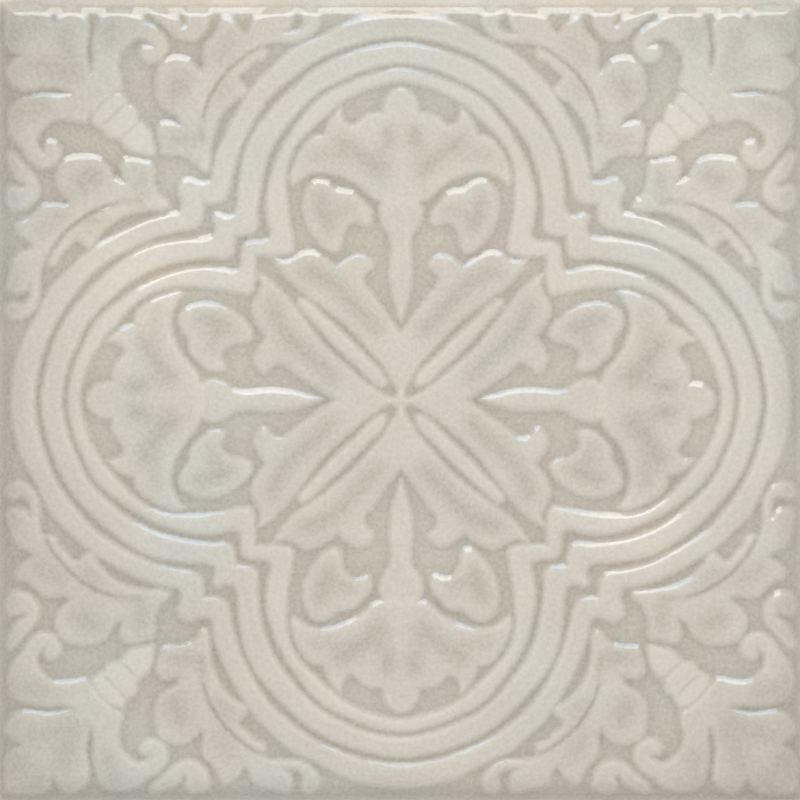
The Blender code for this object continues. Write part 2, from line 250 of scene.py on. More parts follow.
def on_each_axis(half):
    other_half = [point for point in across_axis(half) if point[0] != 0.0]
    return quarter_turns(half + other_half)


def on_each_diagonal(half):
    other_half = [point for point in across_diagonal(half) if point[0] != point[1]]
    return quarter_turns(half + other_half)


def in_each_slice(points):
    return quarter_turns(points) + quarter_turns(across_axis(points))


def round_the_middle(slice_path):
    quarter = slice_path + across_diagonal(slice_path)[1:]
    ring = []
    for side in quarter_turns(quarter):
        ring += side[:-1]
    return [ring]


print("A side leaf is repeated", len(in_each_slice(side_leaf)), "times")

# %% [markdown]
# ## Smooth curves through the points
#
# Blender's Bezier curves bend smoothly through a point whose handles are automatic, and turn
# sharply at one whose handles are vectors. Reading points along such a curve gives an outline
# that is as fine as the relief needs.

# %% Draw one closed curve
line_step = 0.3


def smooth_loop(points):
    curve = bpy.data.curves.new("motif_outline", "CURVE")
    spline = curve.splines.new("BEZIER")
    spline.bezier_points.add(len(points) - 1)
    spline.use_cyclic_u = True
    for knot, (x, y, *kind) in zip(spline.bezier_points, points):
        knot.co = (x, y, 0.0)
        knot.handle_left_type = "VECTOR" if kind else "AUTO"
        knot.handle_right_type = "VECTOR" if kind else "AUTO"
    knots = list(spline.bezier_points)
    line = []
    for knot, following in zip(knots, knots[1:] + knots[:1]):
        pieces = max(2, math.ceil((following.co - knot.co).length / line_step))
        stretch = interpolate_bezier(
            knot.co, knot.handle_right, following.handle_left, following.co, pieces + 1
        )
        line += [(point.x, point.y) for point in stretch[:-1]]
    bpy.data.curves.remove(curve)
    return np.array(line)


print("The comma leaf becomes", len(smooth_loop(comma)), "points")

# %% [markdown]
# ## The mould as a map of heights
#
# A relief that is pressed straight down has one height at each place, so it can be worked out
# as a map, just as a mill cuts the mould. One quarter of the tile is enough, because the others
# are its mirror images. For each motif the map holds how far a place lies inside its outline
# (or, below zero, outside it), and a profile across the edge turns that into a height.

# %% Distance maps
cell = 0.1
across = np.arange(0.0, half_side + cell, cell)
map_x, map_y = np.meshgrid(across, across)


def cells_within(reach, start, end):
    """The rows or columns of the map that lie within reach of the stretch from start to end."""
    first = max(0, int((min(start, end) - reach) / cell))
    last = max(0, int((max(start, end) + reach) / cell) + 2)
    return slice(first, last)


def away_from(lines, reach, closed=True):
    """How far each place is from the nearest of the lines, up to the reach."""
    away = np.full(map_x.shape, reach)
    for line in lines:
        ends = np.roll(line, -1, axis=0) if closed else line[1:]
        for (ax, ay), (bx, by) in zip(line, ends):
            cols = cells_within(reach, ax, bx)
            rows = cells_within(reach, ay, by)
            window = away[rows, cols]
            if window.size == 0:
                continue
            dx, dy = bx - ax, by - ay
            px, py = map_x[rows, cols] - ax, map_y[rows, cols] - ay
            along = np.clip((px * dx + py * dy) / max(dx * dx + dy * dy, 1e-12), 0.0, 1.0)
            np.minimum(window, np.hypot(px - along * dx, py - along * dy), out=window)
    return away


def is_inside(loops):
    """Whether each place lies inside an odd number of the loops."""
    starts = np.concatenate(loops)
    ends = np.concatenate([np.roll(loop, -1, axis=0) for loop in loops])
    inside = np.zeros(map_x.shape, bool)
    for row, y in enumerate(across):
        crossing = (starts[:, 1] <= y) != (ends[:, 1] <= y)
        a, b = starts[crossing], ends[crossing]
        crossed_at = a[:, 0] + (y - a[:, 1]) / (b[:, 1] - a[:, 1]) * (b[:, 0] - a[:, 0])
        to_the_right = len(crossed_at) - np.searchsorted(np.sort(crossed_at), across)
        inside[row] = to_the_right % 2 == 1
    return inside


def depth_inside(loops, reach=2.5):
    lines = [smooth_loop(loop) for loop in loops]
    away = away_from(lines, reach)
    return np.where(is_inside(lines), away, -away)


print("Map of", map_x.shape[0], "by", map_x.shape[1], "places,", cell, "mm apart")

# %% [markdown]
# ## The profile across an edge
#
# A pressed and glazed edge isn't a step. The glaze climbs from the ground to the top in a
# straight slope about two millimetres wide, with a round bend at its foot and at its shoulder.
# A smooth S-curve would be simpler, but its steepness changes all the way, and a glossy wall then
# mirrors the window as a blur. A straight slope gives the one clean line that the real edge has.
# The clay body under the glaze has a shorter wall, further out, so the glaze is thick at the
# foot and thin at the shoulder.

# %% Profiles of the glaze and of the clay body
edge_foot, edge_top = -0.88, 1.14
bend = 0.22
body_foot, body_wall = -0.57, 1.0


def glaze_profile(depth):
    """From 0 at the foot to 1 at the top: a straight slope with a round bend at each end."""
    part = np.clip((depth - edge_foot) / (edge_top - edge_foot), 0.0, 1.0)
    lower_bend = part**2 / (2 * bend)
    slope = part - bend / 2
    upper_bend = 1 - bend - (1 - part) ** 2 / (2 * bend)
    upper_part = np.where(part > 1 - bend, upper_bend, slope)
    return np.where(part < bend, lower_bend, upper_part) / (1 - bend)


def body_profile(depth):
    return np.clip((depth - body_foot) / body_wall, 0.0, 1.0)


print("An edge is", round(edge_top - edge_foot, 2), "mm wide from foot to top")

# %% [markdown]
# Each motif has its own height. Where two overlap, the higher one wins, as it does in a mould.
# The shoulder is where the clay body stands above the glaze's slope, and there the glaze is thin.

# %% Raise each motif
joint_pad = [(0.0, 34.6), (2.6, 35.2), (3.4, 37.0), (2.6, 38.8), (0.0, 39.4)]
motifs = {
    "rosette": (round_the_middle(rosette), 1.05),
    "ribs": (on_each_diagonal(rib), 1.0),
    "stems": (on_each_axis(stem), 1.05),
    "palmettes": (on_each_axis(palmette), 1.0),
    "joint_pads": (on_each_axis(joint_pad), 0.95),
    "commas": (in_each_slice(comma), 1.0),
    "inner_band": (round_the_middle(inner_band_inside) + round_the_middle(inner_band_outside), 0.97),
    "middle_band": (round_the_middle(middle_band_inside) + round_the_middle(middle_band_outside), 1.0),
    "outer_band": (round_the_middle(outer_band_inside) + round_the_middle(outer_band_outside), 1.0),
    "side_leaves": (in_each_slice(side_leaf), 1.03),
    "curls": (in_each_slice(curl), 1.03),
    "corner_leaves": (on_each_diagonal(corner_leaf), 1.0),
    "outer_collars": (on_each_diagonal(outer_collar), 0.85),
    "middle_collars": (on_each_diagonal(middle_collar), 0.85),
    "inner_collars": (on_each_diagonal(inner_collar), 0.85),
    "necks": (on_each_diagonal(neck), 0.8),
}
clay = np.zeros_like(map_x)
body = np.zeros_like(map_x)
for name, (loops, height) in motifs.items():
    depth = depth_inside(loops)
    clay = np.maximum(clay, height * glaze_profile(depth))
    body = np.maximum(body, body_profile(depth))
    print(name, "raised to", height, "mm")
shoulder_spread = 0.6
shoulder = np.clip(body - clay, 0.0, 1.0) ** shoulder_spread

# %% [markdown]
# ## Hollows, veins and buds
#
# The leaves aren't flat on top. A tool with a round end dished them along their middle, a thin
# one drew the veins, and a low bud swells beside each stem.

# %% Strokes of the tool
def stroke(points, width):
    """1 along the middle of a stroke of the tool, fading to nearly 0 at twice its width."""
    lines = [np.array(line) for line in in_each_slice(points)]
    away = away_from(lines, 3 * width, closed=False)
    return np.exp(-((away / width) ** 2))


dishes = [
    ([(4.2, 12.9), (6.7, 15.2), (9.2, 18.2), (12.0, 21.0)], 1.7, 0.3),
    ([(12.0, 21.2), (15.5, 23.2), (17.5, 23.6)], 1.8, 0.3),
    ([(2.3, 47.8), (2.4, 49.8)], 1.4, 0.36),
    ([(2.6, 43.2), (4.2, 46.6)], 1.0, 0.26),
    ([(4.0, 42.2), (6.0, 44.3), (8.5, 46.6), (11.3, 48.0)], 1.6, 0.32),
    ([(9.5, 45.4), (12.5, 45.6), (16.0, 45.2)], 1.5, 0.22),
    ([(15.0, 37.0), (14.5, 34.5), (13.2, 31.8)], 1.6, 0.32),
    ([(9.3, 35.0), (11.5, 34.6), (13.4, 33.3)], 1.3, 0.26),
    ([(40.6, 59.0), (41.9, 56.6)], 2.4, 0.28),
    ([(38.6, 48.2), (41.8, 48.0)], 1.7, 0.26),
    ([(32.0, 58.2), (33.5, 56.4)], 1.4, 0.25),
    ([(31.5, 66.5), (33.8, 63.0)], 1.9, 0.2),
    ([(53.8, 69.5), (54.2, 66.5)], 1.9, 0.22),
    ([(60.2, 61.0), (61.8, 64.5), (62.4, 68.0)], 1.9, 0.22),
    ([(61.2, 63.2), (62.2, 65.5), (62.4, 68.6)], 0.7, 0.14),
    ([(66.8, 70.4), (69.6, 69.6)], 2.2, 0.2),
]
lines = [
    ([(25.0, 65.65), (26.5, 65.3), (28.3, 64.2), (30.4, 62.5), (32.4, 60.6)], 0.42, 0.36),
    ([(32.4, 60.6), (34.0, 58.5), (35.3, 56.2), (36.0, 54.4), (36.5, 52.6)], 0.42, 0.36),
    ([(36.5, 52.6), (36.9, 50.2), (36.7, 48.2)], 0.7, 0.2),
    ([(55.2, 55.2), (53.3, 56.6), (51.7, 57.6)], 0.28, 0.18),
    ([(52.9, 52.9), (52.0, 53.8), (51.0, 55.0)], 0.28, 0.18),
    ([(50.1, 50.1), (49.2, 51.0), (48.2, 51.95)], 0.28, 0.18),
]
hollows, creases = np.zeros_like(clay), np.zeros_like(clay)
for points, width, hollow in dishes:
    hollows = np.maximum(hollows, hollow * stroke(points, width) * np.minimum(1.0, clay))
for points, width, hollow in lines:
    creases = np.maximum(creases, hollow * stroke(points, width) * np.minimum(1.0, clay))
clay = clay - hollows - creases
bud_middle, bud_long, bud_wide, bud_height = (6.3, 29.8), 3.0, 2.2, 0.4
for middle_x, middle_y in [bud_middle, bud_middle[::-1]]:
    size_x, size_y = (bud_long, bud_wide) if middle_y > middle_x else (bud_wide, bud_long)
    swelling = 1 - ((map_x - middle_x) / size_x) ** 2 - ((map_y - middle_y) / size_y) ** 2
    clay = np.maximum(clay, bud_height * np.clip(swelling, 0.0, 1.0) ** 2)
print("Clay stands", round(float(clay.max()), 2), "mm above the ground")

# %% [markdown]
# ## The glaze settles
#
# Molten glaze is a thick liquid. It levels itself, so it draws away from a raised shoulder and
# gathers along the foot of every wall and in every hollow, where it looks darker and greyer.
# A flow simulation would show that too, but blurring the maps is quick and gives nearly the same.
# The result is one number a place: 0 on a thin shoulder, 0.25 on the flat tops, and 1 or a
# little over where the glaze lies thickest. Its darkening by the walls and in hollows and creases
# is partly painted shade, and its lightening on the shoulders partly painted light.

# %% Smooth the clay into the glaze's surface
def blurred(field, spread):
    radius = int(4 * spread / cell)
    kernel = np.exp(-0.5 * (np.arange(-radius, radius + 1) * cell / spread) ** 2)
    kernel /= kernel.sum()
    for _ in range(2):
        padded = np.pad(field, ((0, 0), (radius, radius)), mode="reflect")
        field = np.array([np.convolve(row, kernel, "valid") for row in padded]).T
    return field


levelling = 0.12
glaze = blurred(clay, levelling)
on_tops, on_ground, by_a_wall = 0.25, 0.37, 0.57
on_shoulders, in_hollows, in_creases = 0.42, 2.1, 1.8
wall_softness, wall_reach = 0.15, 1.6
shoulder_softness, hollow_softness, crease_softness = 0.2, 0.9, 0.15
most_gathered = 1.1
low = 1 - blurred(body, wall_softness)
near_a_wall = low * blurred(body, wall_reach)
# Darker by the walls and in hollows and creases, partly as painted shade; paler on the shoulders, partly as
# painted light.
gathered_glaze_and_shade = on_tops + on_ground * low + by_a_wall * near_a_wall
gathered_glaze_and_shade -= on_shoulders * blurred(shoulder, shoulder_softness)
gathered_glaze_and_shade += in_hollows * blurred(hollows, hollow_softness) + in_creases * blurred(creases, crease_softness)
gathered_glaze_and_shade = np.clip(gathered_glaze_and_shade, 0.0, most_gathered)
print("Gathered glaze:", round(float(gathered_glaze_and_shade.min()), 2), "to", round(float(gathered_glaze_and_shade.max()), 2))

# %% [markdown]
# ## Reading the maps anywhere on the tile
#
# A quarter map serves all four quarters, because the sign of a place is dropped before it is
# looked up. Clay shrinks a little unevenly in the fire, so the pattern came out slightly off the
# middle, wider than drawn and less high. A few long waves move each line by another hair, which
# makes no two quarters quite the same. Patches are for what changes by place alone.

# %% Waves, patches and the fired pattern
pattern_right, pattern_down = 0.174, 0.067
wider, less_high = 0.0028, 0.003
unevenness = 0.06


def waves(x, y, lengths, seed):
    """A gentle swell, mostly between -1 and 1, from sine waves of the given lengths in mm."""
    chance = np.random.default_rng(seed)
    total = np.zeros_like(x)
    for length in lengths:
        turn, start = chance.uniform(0, 2 * math.pi, 2)
        total += np.sin((x * math.cos(turn) + y * math.sin(turn)) * 2 * math.pi / length + start)
    return total / math.sqrt(len(lengths))


def read_map(field, x, y):
    """The value of a quarter map at any place of the tile, blended between its four cells."""
    col = np.clip(np.abs(x) / cell, 0, field.shape[1] - 1.001)
    row = np.clip(np.abs(y) / cell, 0, field.shape[0] - 1.001)
    left, low = col.astype(int), row.astype(int)
    right_share, high_share = col - left, row - low
    lower = field[low, left] * (1 - right_share) + field[low, left + 1] * right_share
    upper = field[low + 1, left] * (1 - right_share) + field[low + 1, left + 1] * right_share
    return lower * (1 - high_share) + upper * high_share


def fired(field, x, y):
    """The same, where the press and the fire have moved the lines."""
    shift_x = -pattern_right - wider * x + unevenness * waves(x, y, (9.0, 13.0, 19.0, 31.0), 11)
    shift_y = pattern_down + less_high * y + unevenness * waves(x, y, (8.0, 12.0, 21.0, 34.0), 12)
    return read_map(field, x + shift_x, y + shift_y)


def patches(x, y, places):
    """The sum of soft round patches, each given by its place, its reach and its strength."""
    total = np.zeros_like(x)
    for patch_x, patch_y, reach, strength in places:
        total += strength * np.exp(-((x - patch_x) ** 2 + (y - patch_y) ** 2) / reach**2)
    return total


print("At the right edge the pattern lies", round(pattern_right + wider * half_side, 2), "mm further out")

# %% [markdown]
# ## How deep the press went
#
# A press never fills its mould evenly. Where the clay was pressed deeper, the walls are steeper,
# and only a steep wall leans far enough to mirror the window, so this decides which edges carry
# a bright line. It could be left to chance, but then the lines would fall in other places than
# on the real tile. So the deeper places are soft round patches, given one by one.
# Towards the tile's edge the relief fades out, because the glaze runs down over the rim.

# %% How deep the press went
usual_press, press_swell = 0.86, 0.05
edge_press, faded_strip, fading_strip = 0.3, 1.3, 3.4
# Each patch has its place, its reach and how much deeper it was pressed.
pressed_deeper = [
    (-42.0, 27.0, 14.5, 0.5), (42.0, 27.0, 13.5, 0.36), (45.0, -25.0, 14.0, 0.52),
    (-40.0, -25.0, 13.0, 0.24), (-54.0, 46.0, 15.0, 0.4), (56.0, 46.0, 16.0, 0.38),
    (-40.0, 63.0, 8.0, 0.34), (41.0, 63.0, 8.0, 0.32), (-12.0, 38.0, 6.0, 0.34),
    (12.0, 38.0, 6.0, 0.36), (-16.0, 26.0, 7.0, 0.36), (15.0, 26.0, 7.0, 0.34),
    (-25.0, 2.0, 7.0, 0.36), (25.0, 2.0, 6.0, 0.16), (-8.0, -39.0, 9.0, 0.32),
    (10.0, -40.0, 9.0, 0.22), (-62.0, -54.0, 12.0, 0.28), (62.0, -54.0, 12.0, 0.32),
    (-40.0, -46.0, 9.0, 0.22), (41.0, -46.0, 9.0, 0.24), (0.0, 66.5, 7.0, 0.18),
    (0.0, -69.0, 8.0, 0.2), (-15.0, -66.0, 8.0, 0.18), (15.0, -66.0, 8.0, 0.18),
    (71.5, -22.0, 5.0, 0.7), (71.5, -37.0, 5.0, 0.7), (12.0, -30.0, 6.0, 0.34),
    (26.0, -8.0, 6.0, 0.3), (-12.0, -2.0, 5.0, 0.36), (13.0, -2.0, 5.0, 0.36),
    (55.0, 2.0, 6.0, 0.36), (8.0, -38.0, 8.0, 0.14),
]


def press_at(x, y):
    """What the drawn heights are multiplied by at a place."""
    press = usual_press + press_swell * waves(x, y, (26.0, 37.0, 53.0), 13) + patches(x, y, pressed_deeper)
    from_edge = half_side - np.maximum(np.abs(x), np.abs(y))
    unfaded = np.clip((from_edge - faded_strip) / fading_strip, 0, 1)
    return press * (edge_press + (1 - edge_press) * unfaded)


print("In the middle, the press is", round(float(press_at(np.array([0.0]), np.array([0.0]))[0]), 2))

# %% [markdown]
# ## From the sheet to the tile
#
# The face is shaped as a flat sheet whose outermost strip is then bent over the rim. So a vertex
# has a place on the sheet, and these functions turn it into a place on the tile. Rounding the
# rim of a finished face with Bevel would be the usual way, but the relief runs on over the rim.

# %% From the sheet to the tile
corner_power = 4
relief_fade = 0.6


def over_the_rim(along):
    """How far out a place of the sheet lands, and how far it sinks."""
    beyond = np.abs(along) - flat_half
    out = np.minimum(np.abs(along), flat_half) + np.interp(beyond, rim_along, rim_out)
    return np.copysign(out, along), np.interp(beyond, rim_along, rim_sink)


def tile_surface(along_x, along_y):
    x, sinks_x = over_the_rim(along_x)
    y, sinks_y = over_the_rim(along_y)
    sinks = (sinks_x**corner_power + sinks_y**corner_power) ** (1 / corner_power)
    still_raised = np.clip(1 - sinks / rim_drop, 0, 1) ** relief_fade
    relief = fired(glaze, x, y) * press_at(x, y) * still_raised
    return np.stack([x, y, ground_height + relief - np.minimum(sinks, rim_drop)], axis=1)


corner = tile_surface(np.array([sheet_half]), np.array([sheet_half]))
print("The face's corner lies at", corner.round(2).tolist())

# %% [markdown]
# ## The face as a mesh
#
# A fine grid takes the heights. Most of it is nearly flat, so a Decimate modifier then removes
# what the flat places don't need and keeps the triangles at the edges. The colour also changes
# where the face is flat, so the height that Decimate sees holds a share of the map of the glaze's
# depth and painted shade.

# %% Grid, heights and Decimate
grid_spacing = 0.2
face_triangles = 180000
colour_share = 0.2


def deselect_everything():
    if bpy.context.object and bpy.context.object.mode != "OBJECT":
        bpy.ops.object.mode_set(mode="OBJECT")
    bpy.ops.object.select_all(action="DESELECT")


def read_places(mesh):
    places = np.empty(len(mesh.vertices) * 3, np.float32)
    mesh.vertices.foreach_get("co", places)
    return places.reshape(-1, 3).astype(float)


def write_places(mesh, places):
    mesh.vertices.foreach_set("co", places.astype(np.float32).ravel())
    mesh.update()


deselect_everything()
grid_cells = int(2 * sheet_half / grid_spacing)
bpy.ops.mesh.primitive_grid_add(
    x_subdivisions=grid_cells, y_subdivisions=grid_cells, size=2 * sheet_half * MM
)
tile = bpy.context.active_object
tile.name = "glazed_relief_tile"
sheet = read_places(tile.data) / MM
heights = tile_surface(sheet[:, 0], sheet[:, 1])[:, 2]
shown_x, _ = over_the_rim(sheet[:, 0])
shown_y, _ = over_the_rim(sheet[:, 1])
sheet[:, 2] = heights + colour_share * fired(gathered_glaze_and_shade, shown_x, shown_y)
write_places(tile.data, sheet * MM)
thinning = tile.modifiers.new("keep_the_edges", "DECIMATE")
thinning.ratio = face_triangles / (2 * grid_cells**2)
bpy.ops.object.modifier_apply(modifier=thinning.name)
print("Face thinned to", len(tile.data.polygons), "faces")

# %% [markdown]
# The sheet's heights only told Decimate what to keep. Each vertex that is left now gets its true
# place on the tile, and the border, which Decimate may have pulled in, goes back to the edge.
# The normals are worked out from the surface itself, a nudge to each side, because gloss would
# show every facet of the triangles.

# %% Put the thinned sheet on the tile
sheet = read_places(tile.data) / MM
edges = np.array([edge.vertices[:] for edge in tile.data.edges])
used = np.zeros(len(edges), int)
edge_of_loop = np.empty(len(tile.data.loops), np.int32)
tile.data.loops.foreach_get("edge_index", edge_of_loop)
np.add.at(used, edge_of_loop, 1)
on_border = np.unique(edges[used == 1])
for axis, other in ((0, 1), (1, 0)):
    border = sheet[on_border]
    nearer = np.abs(border[:, axis]) >= np.abs(border[:, other]) - grid_spacing
    pulled_in = on_border[nearer]
    sheet[pulled_in, axis] = np.sign(sheet[pulled_in, axis]) * sheet_half
surface = tile_surface(sheet[:, 0], sheet[:, 1])
nudge = 0.06


def slope_towards(step_x, step_y):
    ahead = tile_surface(sheet[:, 0] + step_x, sheet[:, 1] + step_y)
    behind = tile_surface(sheet[:, 0] - step_x, sheet[:, 1] - step_y)
    return ahead - behind


normals = np.cross(slope_towards(nudge, 0.0), slope_towards(0.0, nudge))
normals /= np.maximum(np.linalg.norm(normals, axis=1, keepdims=True), 1e-9)
write_places(tile.data, surface * MM)
print("Highest point of the face, in mm:", round(float(surface[:, 2].max()), 2))

# %% [markdown]
# ## Paint on the vertices
#
# A poured glaze never comes out even. It is paler in some places and darker or pinker in
# others. The two palest patches, on the upper left and the lower right, are painted sheen, and
# the darker patches along the left edge are painted shade. Along the edges, stripes of painted
# light and shade follow the rim: the outer stripe of the upper rim, which leans towards the
# window, is painted much paler, the outermost stripe of the other rims a little paler, and a
# stripe just inside each rim darker. An image texture could hold that, but a few patches and
# stripes say it in less. They are stored with the depth of the glaze and its painted shade as
# attributes of the vertices, which the glaze's material reads.

# %% Where the glaze is paler or pinker, with painted sheen, light and shade
surface_x, surface_y = surface[:, 0], surface[:, 1]
# Each patch has its place, its reach and how much paler or pinker it is. Below zero is darker. The two
# palest are painted sheen, and the darker ones along the left edge painted shade.
paler = [
    (-47.0, 24.0, 13.0, 2.0), (44.0, -26.0, 9.0, 1.4), (60.0, 36.0, 22.0, 0.7),
    (76.0, 0.0, 26.0, 0.5), (42.0, -13.0, 7.0, -0.9), (-37.0, -39.0, 12.0, -0.7),
    (-78.0, -20.0, 20.0, -1.6), (-68.0, 62.0, 20.0, -1.6), (66.0, -68.0, 14.0, -1.1),
    (0.0, -52.0, 20.0, 0.4), (46.0, 2.0, 8.0, -0.6), (-76.0, 24.0, 16.0, -1.0),
    (-70.0, -60.0, 16.0, -0.9),
]
pinker = [
    (0.0, -2.0, 28.0, 0.5), (-14.0, -46.0, 20.0, 0.9), (-68.0, -22.0, 16.0, 1.2),
    (56.0, -62.0, 12.0, 0.6), (24.0, 34.0, 9.0, 0.7),
]
from_top = half_side - surface_y
from_sides = half_side - np.abs(surface_x)
from_bottom = half_side + surface_y
from_the_rest = np.minimum(from_sides, from_bottom)
# Each strip follows an edge: its middle and its width in mm, and how much paler it is. They are painted
# light and shade on the rim: the outermost strip much paler on the upper rim and a little paler on the
# others, and each strip further in darker.
painted_rim_light_and_shade = [
    (from_top, 0.0, 1.2, 7.5), (from_top, 5.0, 2.6, -0.8),
    (from_the_rest, 0.0, 0.5, 1.6), (from_the_rest, 3.2, 1.7, -0.6),
    (from_sides, 1.2, 1.0, -0.6), (from_bottom, 1.2, 1.0, -1.6),
]
pale_swell = 0.3
paleness = patches(surface_x, surface_y, paler)
paleness += pale_swell * waves(surface_x, surface_y, (11.0, 17.0, 29.0), 14)
for distance, middle, width, strength in painted_rim_light_and_shade:
    paleness += strength * np.exp(-(((distance - middle) / width) ** 2))
print("Paleness from", round(float(paleness.min()), 2), "to", round(float(paleness.max()), 2))

# %% Paint the glaze on the vertices
glaze_depth = fired(gathered_glaze_and_shade, surface_x, surface_y)
layers = {
    "glaze_depth": glaze_depth,
    "paleness": paleness,
    "pinkness": patches(surface_x, surface_y, pinker),
}
for layer_name, values in layers.items():
    layer = tile.data.attributes.new(layer_name, "FLOAT", "POINT")
    layer.data.foreach_set("value", values.astype(np.float32))
print("Glaze depth from", round(float(glaze_depth.min()), 2), "to", round(float(glaze_depth.max()), 2))

# %% [markdown]
# ## Sides and back
#
# The open edge of the face is pulled straight down for the sides. The glaze ends in a small
# bead above the foot, and below it the bare clay steps in a little. The back is plain, and a
# face that closes the last open edge makes it. Extruding keeps the face and its sides one
# mesh, where a separate box would leave a seam at the rim.

# %% Pull the sides down and close the back
bead_height, bead_thickness = 2.0, 0.2
foot_inset = 0.25
foot_chamfer = 0.5
first_pull = 0.5


def scale_about_middle(share, height):
    bpy.ops.transform.resize(value=(share, share, 1.0), center_override=(0.0, 0.0, height))


def pull_down_to(height):
    """Extrudes the selected open edge and flattens the new one at a height in mm."""
    bpy.ops.mesh.extrude_region_move(TRANSFORM_OT_translate={"value": (0.0, 0.0, -first_pull * MM)})
    bpy.ops.transform.resize(value=(1.0, 1.0, 0.0), center_override=(0.0, 0.0, height * MM))


bpy.ops.object.mode_set(mode="EDIT")
bpy.ops.mesh.select_mode(type="EDGE")
bpy.ops.mesh.select_all(action="DESELECT")
bpy.ops.mesh.select_non_manifold()
pull_down_to(bead_height)
pull_down_to(bead_height - bead_thickness)
scale_about_middle((half_side - foot_inset) / half_side, 0.0)
pull_down_to(foot_chamfer)
pull_down_to(0.0)
scale_about_middle((half_side - foot_inset - foot_chamfer) / (half_side - foot_inset), 0.0)
bpy.ops.mesh.edge_face_add()
bpy.ops.mesh.select_all(action="SELECT")
bpy.ops.mesh.quads_convert_to_tris()
bpy.ops.mesh.normals_make_consistent(inside=False)
bpy.ops.object.mode_set(mode="OBJECT")
print("The tile has", len(tile.data.polygons), "faces")

# %% [markdown]
# The sides and back are shaded by angle, so their edges stay crisp. The glazed face gets the
# normals that were worked out above, as custom normals on the corners of its faces.

# %% Normals of the glazed face
sharpest_smooth_edge = 35
least_upward = 0.02
bpy.ops.object.shade_smooth_by_angle(angle=math.radians(sharpest_smooth_edge))
mesh = tile.data
corner_vertex = np.empty(len(mesh.loops), np.int32)
mesh.loops.foreach_get("vertex_index", corner_vertex)
corner_normals = np.empty(len(mesh.loops) * 3, np.float32)
mesh.corner_normals.foreach_get("vector", corner_normals)
corner_normals = corner_normals.reshape(-1, 3)
face_normals = np.empty(len(mesh.polygons) * 3, np.float32)
mesh.polygons.foreach_get("normal", face_normals)
looks_up = face_normals.reshape(-1, 3)[:, 2] > least_upward
face_of_corner = np.repeat(np.arange(len(mesh.polygons)), [face.loop_total for face in mesh.polygons])
on_face = looks_up[face_of_corner] & (corner_vertex < len(normals))
corner_normals[on_face] = normals[corner_vertex[on_face]]
mesh.normals_split_custom_set([tuple(normal) for normal in corner_normals.tolist()])
print("Normals set on", int(on_face.sum()), "corners of the face")

# %% [markdown]
# ## Materials
#
# Colours are written as they look on a screen, in sRGB hex, and Blender wants them linear. One
# function turns them, and one adds a node with its settings and its links.

# %% Helpers for materials
def linear(hex_colour):
    parts = [int(hex_colour[i : i + 2], 16) / 255 for i in (0, 2, 4)]
    turned = [p / 12.92 if p <= 0.04045 else ((p + 0.055) / 1.055) ** 2.4 for p in parts]
    return (*turned, 1.0)


def add_node(tree, kind, settings):
    """Adds a node. A setting is a property of the node, an input (where another node's output is
    linked and anything else is its value), or the stops of a colour ramp."""
    node = tree.nodes.new(kind)
    for key, value in settings.items():
        if key == "stops":
            for position, _ in value[1:-1]:
                node.color_ramp.elements.new(position)
            for element, (position, colour) in zip(node.color_ramp.elements, value):
                element.position, element.color = position, linear(colour)
        elif isinstance(value, bpy.types.NodeSocket):
            tree.links.new(value, node.inputs[key])
        elif isinstance(key, str) and hasattr(node, key):
            setattr(node, key, value)
        else:
            node.inputs[key].default_value = value
    return node


def new_material(name):
    material = bpy.data.materials.new(name)
    material.use_nodes = True
    tree = material.node_tree
    return material, tree, tree.nodes["Principled BSDF"]


per_metre = 1000.0
print("A pattern 1 mm wide has the scale", per_metre)

# %% [markdown]
# ## The glaze
#
# The real finish is an opaque tin glaze the colour of pale stone, poured over the pressed clay
# and fired to a high gloss. On the shoulders it lies thin and looks cream, and where it lies
# thick it looks greyer and darker. A colour ramp over the painted depth gives that, and the same
# ramp paints part of the shade of the grooves darker and part of the light on the shoulders
# paler. Shading the grooves by nearness alone would look alike from above, but this painted
# shade stays under any light.

# %% Glossy tin glaze: its colour by depth, with painted shade and light
glaze_material, tree, shader = new_material("glossy_tin_glaze")
places = add_node(tree, "ShaderNodeTexCoord", {}).outputs["Object"]
depth = add_node(tree, "ShaderNodeAttribute", {"attribute_name": "glaze_depth"}).outputs["Fac"]
# The ramp darkens the thick glaze of the grooves, partly as painted shade, and lightens the thin glaze of
# the shoulders, partly as painted light.
depth_stops = [(0.0, "E1DBD3"), (0.25, "D4CEC6"), (0.6, "CAC4BB"), (1.0, "B8B1A7")]
depth_colour = add_node(tree, "ShaderNodeValToRGB", {"stops": depth_stops, "Fac": depth}).outputs["Color"]
print("On a flat top the glaze is", [round(part, 3) for part in linear(depth_stops[1][1])[:3]])

# %% [markdown]
# The glaze leans to pink in some places and to green in others, in clouds about three
# centimetres wide. The painted pinkness pushes the clouds the way they went on the real tile.

# %% Glossy tin glaze: clouds of pink and green
cloud_size = 30.0
pink_push = 0.3
cloud_settings = {"Scale": per_metre / cloud_size, "Detail": 4.0, "Roughness": 0.6, "Vector": places}
clouds = add_node(tree, "ShaderNodeTexNoise", cloud_settings).outputs["Fac"]
pinkness = add_node(tree, "ShaderNodeAttribute", {"attribute_name": "pinkness"}).outputs["Fac"]
joining = {"operation": "MULTIPLY_ADD", 0: pinkness, 1: pink_push, 2: clouds}
warmth = add_node(tree, "ShaderNodeMath", joining).outputs["Value"]
cloud_stops = [(0.38, "FAFEFB"), (0.58, "FDFDF6"), (0.85, "FFFBF9")]
cloud_tint = add_node(tree, "ShaderNodeValToRGB", {"stops": cloud_stops, "Fac": warmth}).outputs["Color"]
tinting = {"data_type": "RGBA", "blend_type": "MULTIPLY", "Factor": 1.0, "A": depth_colour, "B": cloud_tint}
tinted = add_node(tree, "ShaderNodeMix", tinting).outputs["Result"]
print("Clouds are", cloud_size, "mm wide, in", len(cloud_stops), "tints")
